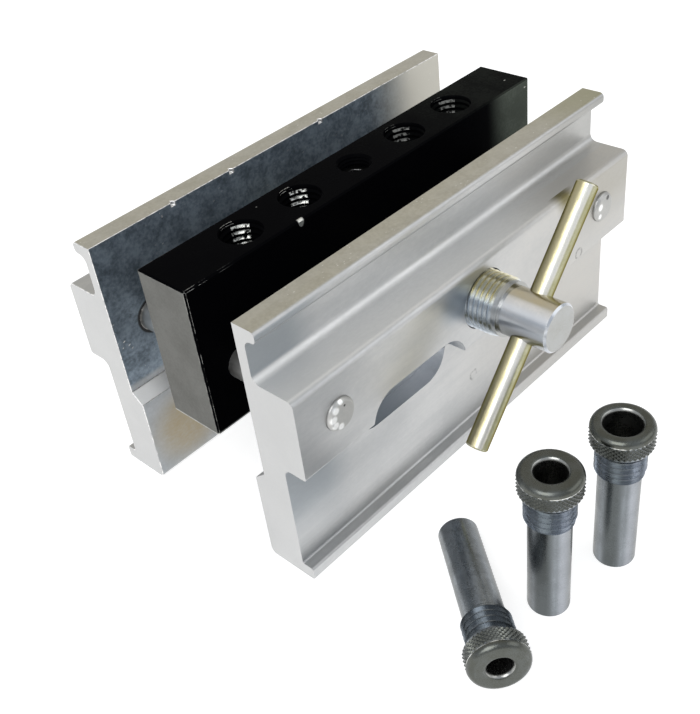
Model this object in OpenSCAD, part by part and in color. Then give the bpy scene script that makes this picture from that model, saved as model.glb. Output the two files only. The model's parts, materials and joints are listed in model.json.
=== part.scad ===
// Self-centring doweling jig: a drilled guide block between two jaws that one screw
// draws together, and the three drill bushings that screw into the block.
// Origin: centre of the guide block's underside. +X along the jaws, -Y towards the T-bar.

/* [Guide block] */
// Thickness of the guide block, from jaw to jaw
block_width = 19.05; // [18.5:0.05:26]
// Height of the guide block
block_height = 47.6; // [45:0.1:60]
// Bevel along the edges of the guide block
block_bevel = 0.5; // [0.2:0.1:1.5]
// Distance from one bushing hole to the next
hole_pitch = 22.225; // [20:0.025:24]
// Bushing holes on each side of the middle
holes_a_side = 2; // [1:1:2]
// Bore of a bushing hole, inside its thread
hole_bore = 11.3; // [9:0.1:12]
// Bevel at the mouths of the holes in the block
hole_bevel = 0.7; // [0.2:0.1:1.2]

/* [Retaining screw] */
// Diameter of the retaining screw that holds the centre screw in the block
retainer_diameter = 9.525; // [8:0.025:11]
// How far the retaining screw sits below the top of the block
retainer_sink = 3.5; // [1:0.1:6]
// Diameter of its plain nose
nose_diameter = 5.6; // [4:0.1:7]
// Its key socket, across the flats
socket_across = 4.76; // [3:0.02:6]
// Depth of its key socket
socket_depth = 4; // [2:0.1:6]

/* [Centre screw] */
// Height of the screw and of the guide rods above the underside of the block
screw_height = 18; // [15:0.1:22]
// Diameter over the threads
screw_diameter = 18; // [14:0.1:19]
// Thread that shows beyond the front boss
screw_showing = 9.4; // [6:0.1:14]
// How far the screw reaches beyond the rear boss
screw_tail = 1.5; // [0.5:0.1:6]
// Bevel at the ends of the threads
screw_bevel = 0.9; // [0.3:0.1:1.5]
// Depth of the groove that the retaining screw runs in
groove_depth = 2.4; // [1.5:0.1:4]
// Diameter of the plain head that holds the T-bar
head_diameter = 14.3; // [10:0.1:16]
// Length of the plain head
head_length = 15.5; // [12:0.1:24]
// Bevel at the end of the head
head_bevel = 0.6; // [0.2:0.1:1.5]

/* [T-bar] */
// Diameter of the T-bar
bar_diameter = 6.35; // [4:0.05:7]
// Length of the T-bar
bar_length = 77.4; // [50:0.1:90]
// Distance of the T-bar from the end of the head
bar_setback = 9.25; // [6:0.05:10]
// Lean of the T-bar from upright at rest
bar_lean = 42; // [0:1:90]
// Bevel at the ends of the T-bar
bar_bevel = 0.4; // [0.1:0.1:1]

/* [Guide rods] */
// Diameter of the guide rods
rod_diameter = 9.525; // [7:0.025:11]
// Distance from the last bushing hole to a guide rod
rod_beyond_hole = 15.05; // [11.5:0.05:20]
// Distance from a guide rod to the end of the guide block
rod_to_end = 12.75; // [7:0.05:20]
// How far the rods reach beyond the bosses
rod_showing = 1.3; // [0.5:0.1:6]
// Bevel at the ends of the rods
rod_bevel = 0.8; // [0.3:0.1:1.5]

/* [Jaws] */
// Opening from jaw to jaw at rest
jaw_opening = 57.15; // [45:0.05:68]
// How far the jaws reach beyond each end of the guide block
jaw_overhang = 1.5; // [0.5:0.1:6]
// Height of the jaws
jaw_height = 82.5; // [78:0.5:100]
// How far the lip along the top reaches out
lip_reach = 7.6; // [7.2:0.1:12]
// Thickness of the lip
lip_thickness = 3.6; // [3:0.1:6]
// Rounding of the lip
lip_round = 1.4; // [0.4:0.1:1.5]
// Thickness of the neck below the lip
neck_thickness = 3.4; // [2.5:0.1:3.6]
// Depth of the boss's top face below the top of the jaw
boss_drop = 16.75; // [12:0.05:18]
// Height of the boss that the screw and the rods pass through
boss_height = 25.65; // [24:0.05:27]
// How far the boss reaches out
boss_reach = 17; // [14:0.1:22]
// Rounding along the boss's upper edge
boss_round = 2; // [0.5:0.1:3]
// Thickness of the skirt below the boss
skirt_thickness = 9.1; // [6:0.1:10]
// How far the foot along the bottom reaches out
foot_reach = 13; // [11.5:0.1:16]
// Height of the foot
foot_height = 4.3; // [3:0.1:6]
// Rounding of the foot and of the boss's lower edge
edge_round = 0.8; // [0.2:0.1:1]
// Fillets beside the neck and the boss
root_round = 2.5; // [1:0.1:2.5]
// How far the clamping pad stands in from the jaw's inner face
pad_reach = 4; // [2:0.1:5]
// Height of the clamping pad's flat face and its rounded bottom edge
pad_height = 29.5; // [20:0.1:30]
// Height of the slope above the clamping pad
pad_slope = 3.3; // [1:0.1:4]
// Rounding along the pad's bottom edge
pad_round = 2; // [0.5:0.1:3]

/* [Jaw cut-outs] */
// Wall between the round-ended pocket in the front boss and the left guide rod's bore
pocket_rod_wall = 11; // [6:0.1:16]
// Wall between the pocket and the screw's bore
pocket_screw_wall = 4.9; // [2:0.1:10]
// Radius of the pocket's round ends
pocket_radius = 8.8; // [5:0.1:9]
// How far the middle of the pocket lies below the boss's lower edge
pocket_drop = 1.2; // [0:0.1:3]
// Width of the index notches on the rear jaw
notch_width = 1.6; // [0.8:0.1:3]
// Depth of the index notches
notch_depth = 1.2; // [0.6:0.1:2]

/* [Drill bushings] */
// Length of a bushing
bushing_length = 47.6; // [35:0.1:60]
// Diameter of a bushing's plain body
bushing_body = 11.1125; // [10.5:0.0125:11.2]
// Diameter over a bushing's thread
bushing_thread = 12.5; // [12:0.05:12.7]
// Length of a bushing's thread
bushing_thread_length = 9.3; // [6:0.1:14]
// Diameter of a bushing's knurled head
bushing_head = 16.6; // [15:0.1:20]
// Height of a bushing's head
bushing_head_height = 6.8; // [4:0.1:10]
// Bevel around a bushing's head
bushing_head_bevel = 0.5; // [0.2:0.1:1]
// Bevel at the tail of a bushing
bushing_tail_bevel = 0.6; // [0.2:0.1:0.7]
// Widening of the bore at the head, on each side
lead_in = 1; // [0.3:0.1:1.2]
// Bore of the small bushing
small_bore = 6.35; // [5:0.01:7]
// Bore of the middle bushing
middle_bore = 7.9375; // [7:0.0125:8.5]
// Bore of the large bushing
large_bore = 9.525; // [8:0.025:9.6]

/* [Loose bushings at rest] */
// Place of the middle bushing, across from the screw and in front of the front boss
middle_bushing_place = [-40.7, 49.6]; // [-80:0.1:80]
// Place of the large bushing, likewise
large_bushing_place = [-16.6, 54.2]; // [-80:0.1:80]
// Place of the tail of the small bushing, which lies on its side, likewise
small_bushing_place = [-40.2, 19.5]; // [-80:0.1:80]
// Direction in which the lying bushing's head points
small_bushing_turn = -129.3; // [-180:0.1:180]

/* [Hidden] */

// Radial room of the screw and the rods in the holes that they turn or slide in
running_room = 0.05;
// Room beside and under the retaining screw's nose, and round its thread
nose_room = 0.15;
thread_room = 0.03;
// How far a cut runs past the face that it opens
overrun = 1;
// Steps in each rounded stretch of the jaw's outline
arc_steps = 8;
// Places of the index notches along the rear jaw, as shares of the hole pitch
notch_shares = [-2, -1, 0.69];

rod_place = holes_a_side * hole_pitch + rod_beyond_hole;
block_length = 2 * (rod_place + rod_to_end);
jaw_length = block_length + 2 * jaw_overhang;
jaw_face = jaw_opening / 2;
boss_face = jaw_face + boss_reach;
jaw_bottom = block_height - jaw_height;
boss_top = block_height - boss_drop;
boss_bottom = boss_top - boss_height;
bore_radius = screw_diameter / 2 + running_room;
head_start = boss_face + screw_showing;
head_end = head_start + head_length;
bar_place = head_end - bar_setback;
rod_reach = boss_face + rod_showing;
lying_span = bushing_length - bushing_head_height + bushing_head_bevel - bushing_tail_bevel;
lying_lift = atan((bushing_head - bushing_body) / 2 / lying_span);
lying_height = bushing_body / 2 * cos(lying_lift) - bushing_tail_bevel * sin(lying_lift);

// Points of an arc about a centre, from one angle to another
function arc(centre, radius, from, to) = [
    for (step = [0 : arc_steps])
        let (turn = from + (to - from) * step / arc_steps)
            centre + radius * [cos(turn), sin(turn)]
];

// Extrudes a (Y, Z) outline along X, centred
module along_x(length) {
    rotate([90, 0, 90])
        linear_extrude(length, center = true)
            children();
}

// Turns what stands along Z so that it points along -Y, from a height above the origin
module towards_front(height) {
    translate([0, 0, height])
        rotate([90, 0, 0])
            children();
}

// Rectangle with its corners cut off
module bevelled_square(width, height, bevel) {
    polygon([
        [bevel - width / 2, -height / 2], [width / 2 - bevel, -height / 2],
        [width / 2, bevel - height / 2], [width / 2, height / 2 - bevel],
        [width / 2 - bevel, height / 2], [bevel - width / 2, height / 2],
        [-width / 2, height / 2 - bevel], [-width / 2, bevel - height / 2]
    ]);
}

// Round bar from z = 0, bevelled at both ends
module bevelled_rod(radius, length, bevel) {
    rotate_extrude($fn = 96)
        polygon([
            [0, 0], [radius - bevel, 0], [radius, bevel],
            [radius, length - bevel], [radius - bevel, length], [0, length]
        ]);
}

// Cone that opens a hole's mouth upwards at z = 0
module mouth_cone(radius, bevel) {
    rotate_extrude($fn = 96)
        polygon([
            [0, -bevel], [radius, -bevel], [radius + bevel + overrun, overrun], [0, overrun]
        ]);
}

module block_solid() {
    intersection() {
        translate([0, 0, block_height / 2])
            along_x(block_length)
                bevelled_square(block_width, block_height, block_bevel);
        linear_extrude(block_height)
            bevelled_square(block_length, block_width, block_bevel);
        translate([0, 0, block_height / 2])
            rotate([90, 0, 0])
                linear_extrude(block_width, center = true)
                    bevelled_square(block_length, block_height, block_bevel);
    }
}

// Bore of one bushing hole, bevelled at both mouths
module bushing_hole() {
    translate([0, 0, -overrun])
        cylinder(r = hole_bore / 2, h = block_height + 2 * overrun, $fn = 96);
    translate([0, 0, block_height])
        mouth_cone(hole_bore / 2, hole_bevel);
    mirror([0, 0, 1])
        mouth_cone(hole_bore / 2, hole_bevel);
}

module guide_block() {
    color([0.06, 0.06, 0.065])
        difference() {
            block_solid();
            for (side = [-1, 1], place = [1 : holes_a_side])
                translate([side * place * hole_pitch, 0, 0])
                    bushing_hole();
            for (side = [-1, 1])
                translate([side * rod_place, block_width / 2 + overrun, 0])
                    towards_front(screw_height)
                        cylinder(r = rod_diameter / 2, h = block_width + 2 * overrun, $fn = 96);
            translate([0, block_width / 2 + overrun, 0])
                towards_front(screw_height)
                    cylinder(r = bore_radius, h = block_width + 2 * overrun, $fn = 128);
            translate([0, 0, screw_height])
                cylinder(
                    r = retainer_diameter / 2 + thread_room,
                    h = block_height - screw_height + overrun,
                    $fn = 96
                );
            translate([0, 0, block_height])
                mouth_cone(retainer_diameter / 2 + thread_room, hole_bevel);
        }
}

module guide_rod(side) {
    color([0.72, 0.74, 0.76])
        translate([side * rod_place, rod_reach, 0])
            towards_front(screw_height)
                bevelled_rod(rod_diameter / 2, 2 * rod_reach, rod_bevel);
}

module guide_rod_left() {
    guide_rod(-1);
}

module guide_rod_right() {
    guide_rod(1);
}

// Set screw whose nose runs in the centre screw's groove
module retaining_screw() {
    nose_tip = screw_height + screw_diameter / 2 - groove_depth + nose_room;
    thread_tip = screw_height + bore_radius;
    top = block_height - retainer_sink;
    color([0.1, 0.1, 0.11])
        difference() {
            union() {
                translate([0, 0, thread_tip])
                    cylinder(r = retainer_diameter / 2, h = top - thread_tip, $fn = 96);
                translate([0, 0, nose_tip])
                    cylinder(r = nose_diameter / 2, h = top - nose_tip, $fn = 64);
            }
            translate([0, 0, top - socket_depth])
                cylinder(r = socket_across / 2 / cos(30), h = socket_depth + overrun, $fn = 6);
        }
}

module centre_screw() {
    color([0.62, 0.66, 0.72])
        difference() {
            union() {
                translate([0, boss_face + screw_tail, 0])
                    towards_front(screw_height)
                        bevelled_rod(
                            screw_diameter / 2, boss_face + screw_tail + head_start, screw_bevel
                        );
                towards_front(screw_height)
                    bevelled_rod(head_diameter / 2, head_end, head_bevel);
            }
            towards_front(screw_height)
                rotate_extrude($fn = 128)
                    translate([screw_diameter / 2 - groove_depth, -nose_diameter / 2 - nose_room])
                        square([groove_depth + overrun, nose_diameter + 2 * nose_room]);
            bar_shape(head_diameter + 2 * overrun, 0);
        }
}

// The T-bar, or the hole that it is pressed into
module bar_shape(length, bevel) {
    translate([0, -bar_place, screw_height])
        rotate([0, bar_lean, 0])
            translate([0, 0, -length / 2])
                bevelled_rod(bar_diameter / 2, length, bevel);
}

module t_bar() {
    color([0.72, 0.66, 0.42])
        bar_shape(bar_length, bar_bevel);
}

// Section of a jaw: X is the distance out from its inner face, Y is the height
module jaw_outline() {
    lip_bottom = block_height - lip_thickness;
    foot_top = jaw_bottom + foot_height;
    pad_top = jaw_bottom + pad_height;
    polygon(concat(
        [[0, block_height]],
        arc([lip_reach - lip_round, block_height - lip_round], lip_round, 90, 0),
        arc([lip_reach - lip_round, lip_bottom + lip_round], lip_round, 0, -90),
        arc([neck_thickness + root_round, lip_bottom - root_round], root_round, 90, 180),
        arc([neck_thickness + root_round, boss_top + root_round], root_round, 180, 270),
        arc([boss_reach - boss_round, boss_top - boss_round], boss_round, 90, 0),
        arc([boss_reach - edge_round, boss_bottom + edge_round], edge_round, 0, -90),
        arc([skirt_thickness + root_round, boss_bottom - root_round], root_round, 90, 180),
        arc([skirt_thickness + edge_round, foot_top + edge_round], edge_round, 180, 270),
        arc([foot_reach - edge_round, foot_top - edge_round], edge_round, 90, 0),
        arc([foot_reach - edge_round, jaw_bottom + edge_round], edge_round, 0, -90),
        arc([pad_round - pad_reach, jaw_bottom + pad_round], pad_round, -90, -180),
        [[-pad_reach, pad_top], [0, pad_top + pad_slope]]
    ));
}

// A jaw on the +Y side, bored for the screw and the guide rods
module jaw_solid() {
    difference() {
        translate([0, jaw_face, 0])
            along_x(jaw_length)
                jaw_outline();
        translate([0, boss_face + overrun, 0])
            towards_front(screw_height)
                cylinder(r = bore_radius, h = boss_reach + 2 * overrun, $fn = 128);
        for (side = [-1, 1])
            translate([side * rod_place, boss_face + overrun, 0])
                towards_front(screw_height)
                    cylinder(
                        r = rod_diameter / 2 + running_room, h = boss_reach + 2 * overrun, $fn = 96
                    );
    }
}

// Round-ended pocket sunk across the boss's lower edge, as deep as the neck's outer face
module pocket() {
    middle = boss_bottom - pocket_drop;
    drop = screw_height - middle;
    rod_span = rod_diameter / 2 + running_room + pocket_rod_wall + pocket_radius;
    screw_span = bore_radius + pocket_screw_wall + pocket_radius;
    left = sqrt(rod_span * rod_span - drop * drop) - rod_place;
    right = -sqrt(screw_span * screw_span - drop * drop);
    depth = boss_reach - neck_thickness + overrun;
    translate([0, jaw_face + neck_thickness + depth, middle])
        rotate([90, 0, 0])
            linear_extrude(depth) {
                for (end = [left, right])
                    translate([end, 0])
                        circle(r = pocket_radius, $fn = 64);
                translate([left, -pocket_radius])
                    square([right - left, 2 * pocket_radius]);
            }
}

module front_jaw() {
    color([0.78, 0.78, 0.77])
        mirror([0, 1, 0])
            difference() {
                jaw_solid();
                pocket();
            }
}

// V-shaped index notch across the top inner edge of the rear jaw
module index_notch() {
    translate([0, jaw_face, block_height - notch_depth])
        linear_extrude(notch_depth + overrun)
            polygon([[-notch_width / 2, 0], [0, notch_depth], [notch_width / 2, 0], [0, -overrun]]);
}

module rear_jaw() {
    color([0.74, 0.75, 0.75])
        difference() {
            jaw_solid();
            for (share = notch_shares)
                translate([share * hole_pitch, 0, 0])
                    index_notch();
        }
}

// Moves a loose bushing to its place in front of the jig
module at_place(place, height) {
    translate([place.x, -boss_face - place.y, height])
        children();
}

// A drill bushing that stands on its tail at the origin
module bushing(bore) {
    head_bottom = bushing_length - bushing_head_height;
    thread_bottom = head_bottom - bushing_thread_length;
    color([0.22, 0.23, 0.25])
        rotate_extrude($fn = 96)
            polygon([
                [bore / 2, 0],
                [bushing_body / 2 - bushing_tail_bevel, 0],
                [bushing_body / 2, bushing_tail_bevel],
                [bushing_body / 2, thread_bottom],
                [bushing_thread / 2, thread_bottom + (bushing_thread - bushing_body) / 2],
                [bushing_thread / 2, head_bottom],
                [bushing_head / 2 - bushing_head_bevel, head_bottom],
                [bushing_head / 2, head_bottom + bushing_head_bevel],
                [bushing_head / 2, bushing_length - bushing_head_bevel],
                [bushing_head / 2 - bushing_head_bevel, bushing_length],
                [bore / 2 + lead_in, bushing_length],
                [bore / 2, bushing_length - lead_in]
            ]);
}

// The small bushing lies on the inner rim of its head and on its tail
module small_bushing() {
    at_place(small_bushing_place, jaw_bottom + lying_height)
        rotate([0, 90 - lying_lift, small_bushing_turn])
            bushing(small_bore);
}

module middle_bushing() {
    at_place(middle_bushing_place, jaw_bottom)
        bushing(middle_bore);
}

module large_bushing() {
    at_place(large_bushing_place, jaw_bottom)
        bushing(large_bore);
}

guide_block();
guide_rod_left();
guide_rod_right();
retaining_screw();
centre_screw();
t_bar();
front_jaw();
rear_jaw();
small_bushing();
middle_bushing();
large_bushing();
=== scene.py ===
import json
from math import atan2, cos, degrees, hypot, pi, radians, sin, tau

import bmesh
import bpy
from mathutils import Matrix, Vector


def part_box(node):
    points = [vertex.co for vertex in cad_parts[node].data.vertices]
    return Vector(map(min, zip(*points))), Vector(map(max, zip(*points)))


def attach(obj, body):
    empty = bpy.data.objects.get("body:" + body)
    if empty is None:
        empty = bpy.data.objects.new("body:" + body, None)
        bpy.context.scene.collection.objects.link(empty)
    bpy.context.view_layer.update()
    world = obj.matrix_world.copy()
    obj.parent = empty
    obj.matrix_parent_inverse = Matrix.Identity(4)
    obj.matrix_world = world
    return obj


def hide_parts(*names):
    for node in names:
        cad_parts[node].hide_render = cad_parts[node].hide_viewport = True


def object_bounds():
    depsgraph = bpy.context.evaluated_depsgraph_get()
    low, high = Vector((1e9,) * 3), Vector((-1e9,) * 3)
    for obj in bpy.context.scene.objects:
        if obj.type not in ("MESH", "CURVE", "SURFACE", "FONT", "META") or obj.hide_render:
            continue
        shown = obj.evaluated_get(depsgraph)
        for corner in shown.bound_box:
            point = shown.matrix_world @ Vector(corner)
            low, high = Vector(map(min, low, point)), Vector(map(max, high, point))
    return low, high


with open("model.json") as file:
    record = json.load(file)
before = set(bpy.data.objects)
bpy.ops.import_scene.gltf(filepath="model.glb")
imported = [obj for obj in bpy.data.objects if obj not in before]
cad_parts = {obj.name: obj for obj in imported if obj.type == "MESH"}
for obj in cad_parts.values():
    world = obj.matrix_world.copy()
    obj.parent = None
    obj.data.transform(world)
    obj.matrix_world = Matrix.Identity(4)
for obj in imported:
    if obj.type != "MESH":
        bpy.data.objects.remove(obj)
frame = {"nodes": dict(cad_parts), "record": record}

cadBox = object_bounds()
mm = 0.001
mounts = {mount["name"]: mount for mount in frame["record"]["mounts"]}
print("frame loaded")


# Small helpers for node trees

mixFirst = 6  # the two colour inputs of a Mix node, and its colour output
mixSecond = 7
mixResult = 2


def link(source, target):
    source.id_data.links.new(source, target)


def addNode(kind, inputs, tree=None, **settings):
    # without a tree, the node goes where its first linked input is from
    if tree is None:
        tree = next(value.id_data for value in inputs.values() if isinstance(value, bpy.types.NodeSocket))
    node = tree.nodes.new(kind)
    for key, value in settings.items():
        setattr(node, key, value)
    for key, value in inputs.items():
        if isinstance(value, bpy.types.NodeSocket):
            link(value, node.inputs[key])
        else:
            node.inputs[key].default_value = value
    return node


def maths(operation, *values, clamp=False):
    node = addNode("ShaderNodeMath", dict(enumerate(values)), operation=operation, use_clamp=clamp)
    return node.outputs[0]


def product(first, *others):
    for other in others:
        first = maths("MULTIPLY", first, other)
    return first


def largest(first, *others):
    for other in others:
        first = maths("MAXIMUM", first, other)
    return first


def allBut(share):
    return maths("SUBTRACT", 1.0, share)


def vectorMaths(operation, *values):
    node = addNode("ShaderNodeVectorMath", dict(enumerate(values)), operation=operation)
    return node.outputs["Value" if operation == "DOT_PRODUCT" else "Vector"]


def splitXYZ(vector):
    return addNode("ShaderNodeSeparateXYZ", {"Vector": vector}).outputs


def combineXYZ(**parts):
    return addNode("ShaderNodeCombineXYZ", parts).outputs["Vector"]


def faceMark(tree, name):
    return addNode("ShaderNodeAttribute", {}, tree, attribute_name=name).outputs["Fac"]


def noise(place, scale, detail, roughness=0.5):
    return addNode("ShaderNodeTexNoise", {
        "Vector": place, "Scale": scale, "Detail": detail, "Roughness": roughness,
    }).outputs["Fac"]


def ramped(value, low, high, start=0.0, end=1.0):
    node = addNode("ShaderNodeMapRange", {
        "Value": value, "From Min": low, "From Max": high, "To Min": start, "To Max": end,
    }, interpolation_type="SMOOTHSTEP")
    return node.outputs["Result"]


def blendValues(share, first, second):
    return addNode("ShaderNodeMix", {"Factor": share, "A": first, "B": second}).outputs[0]


def blendColours(share, first, second):
    inputs = {"Factor": share}
    for key, value in ((mixFirst, first), (mixSecond, second)):
        inputs[key] = value if isinstance(value, bpy.types.NodeSocket) else (*value, 1.0)
    return addNode("ShaderNodeMix", inputs, data_type="RGBA").outputs[mixResult]


def groupTree(name, kind, inputs, outputs):
    tree = bpy.data.node_groups.new(name, kind)
    for label, socketType, value in inputs:
        socket = tree.interface.new_socket(label, in_out="INPUT", socket_type="NodeSocket" + socketType)
        if value is not None:
            socket.default_value = value
    for label, socketType in outputs:
        tree.interface.new_socket(label, in_out="OUTPUT", socket_type="NodeSocket" + socketType)
    return tree, tree.nodes.new("NodeGroupInput").outputs, tree.nodes.new("NodeGroupOutput").inputs


# Shared finish groups

cloudSpan = (0.3, 0.7)  # noise values between which a clouding or a worn spot sets in
wearSpan = (0.42, 0.58)


def buildMottle():
    # broad clouding with fine grain on top of it
    tree, given, result = groupTree("mottle", "ShaderNodeTree", [
        ("Vector", "Vector", None), ("Cloud Scale", "Float", 60.0), ("Grain Scale", "Float", 1800.0),
        ("Grain Share", "Float", 0.4),
    ], [("Mask", "Float"), ("Height", "Float")])
    cloud = noise(given["Vector"], given["Cloud Scale"], detail=4.0, roughness=0.6)
    grain = noise(given["Vector"], given["Grain Scale"], detail=2.0)
    mixed = maths("ADD", product(cloud, allBut(given["Grain Share"])),
                  product(grain, given["Grain Share"]))
    link(ramped(mixed, *cloudSpan), result["Mask"])
    link(grain, result["Height"])
    return tree


def buildStreaks():
    # long fine lines, drawn out along the axis with the smallest stretch
    tree, given, result = groupTree("streaks", "ShaderNodeTree", [
        ("Vector", "Vector", None), ("Stretch", "Vector", (30.0, 1500.0, 1500.0)), ("Low", "Float", 0.35),
        ("High", "Float", 0.65),
    ], [("Mask", "Float"), ("Height", "Float")])
    drawn = vectorMaths("MULTIPLY", given["Vector"], given["Stretch"])
    lines = noise(drawn, 1.0, detail=3.0, roughness=0.65)
    link(ramped(lines, given["Low"], given["High"]), result["Mask"])
    link(lines, result["Height"])
    return tree


def buildEdgeWear():
    # bare metal on marked faces, broken up by noise
    tree, given, result = groupTree("edgeWear", "ShaderNodeTree", [
        ("Vector", "Vector", None), ("Edge", "Float", 0.0), ("Scale", "Float", 300.0),
        ("Amount", "Float", 0.6),
    ], [("Mask", "Float")])
    broken = noise(given["Vector"], given["Scale"], detail=5.0, roughness=0.65)
    bare = maths("ADD", broken, maths("SUBTRACT", given["Amount"], 0.5))
    link(product(ramped(bare, *wearSpan), given["Edge"]), result["Mask"])
    return tree


def buildSpecks():
    # sparse short dashes and specks, longest along the axis with the smallest stretch
    tree, given, result = groupTree("specks", "ShaderNodeTree", [
        ("Vector", "Vector", None), ("Stretch", "Vector", (500.0, 900.0, 900.0)), ("Size", "Float", 0.2),
        ("Share", "Float", 0.2),
    ], [("Mask", "Float")])
    cells = addNode("ShaderNodeTexVoronoi", {
        "Vector": vectorMaths("MULTIPLY", given["Vector"], given["Stretch"]), "Scale": 1.0,
        "Randomness": 1.0,
    }).outputs
    near = maths("LESS_THAN", cells["Distance"], given["Size"])
    drawn = addNode("ShaderNodeSeparateColor", {"Color": cells["Color"]}).outputs["Red"]
    kept = maths("LESS_THAN", drawn, given["Share"])
    link(product(near, kept), result["Mask"])
    return tree


finishGroups = {
    "mottle": buildMottle(), "streaks": buildStreaks(), "edgeWear": buildEdgeWear(), "specks": buildSpecks(),
}


def addGroup(name, place, settings, **more):
    inputs = {"Vector": place, **settings, **more}
    return addNode("ShaderNodeGroup", inputs, node_tree=finishGroups[name]).outputs


def emptyTree(owner):
    owner.use_nodes = True
    owner.node_tree.nodes.clear()
    return owner.node_tree


def startMaterial(name, settings):
    material = bpy.data.materials.new(name)
    tree = emptyTree(material)
    shader = addNode("ShaderNodeBsdfPrincipled", settings, tree)
    output = tree.nodes.new("ShaderNodeOutputMaterial")
    link(shader.outputs["BSDF"], output.inputs["Surface"])
    place = tree.nodes.new("ShaderNodeTexCoord").outputs
    return material, shader.inputs, place["Object"], place["Normal"], faceMark(tree, "edge")


def addBumps(shader, *layers):
    # bumps on top of each other, each a height and its depth
    under = None
    for height, depth in layers:
        bump = addNode("ShaderNodeBump", {"Distance": depth, "Height": height})
        if under is not None:
            link(under, bump.inputs["Normal"])
        under = bump.outputs["Normal"]
    link(under, shader["Normal"])


def facing(normal, axis, low=0.85, high=0.97):
    return ramped(vectorMaths("DOT_PRODUCT", normal, axis), low, high)


def spotMask(parts, centre, radius, blur, squash=1.0):
    # 1 inside a circle round an (X, Z) centre, fading out over the blur
    sideways = maths("SUBTRACT", parts["X"], centre[0])
    upwards = product(maths("SUBTRACT", parts["Z"], centre[1]), squash)
    squares = maths("ADD", product(sideways, sideways), product(upwards, upwards))
    return ramped(maths("SQRT", squares), radius + blur, radius - blur)


def between(value, low, high, blur=0.0004):
    # 1 between the two limits, fading out over the blur
    return product(ramped(value, low - blur, low + blur), ramped(value, high + blur, high - blur))


def regionMask(known, on=(), ramps=(), bands=(), spot=None, most=1.0):
    # where all of a region's named masks, ramps and bands and its spot meet, at most this strong
    shares = [known[name] for name in on]
    shares += [ramped(known[name], *span) for name, *span in ramps]
    shares += [between(known[name], *span) for name, *span in bands]
    if spot is not None:
        shares.append(spotMask(known, *spot))
    return product(*shares, most) if most < 1.0 else product(*shares)


# Finishes: lengths in metres; a ramp is (measure, low, high, value at low, value at high)

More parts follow.
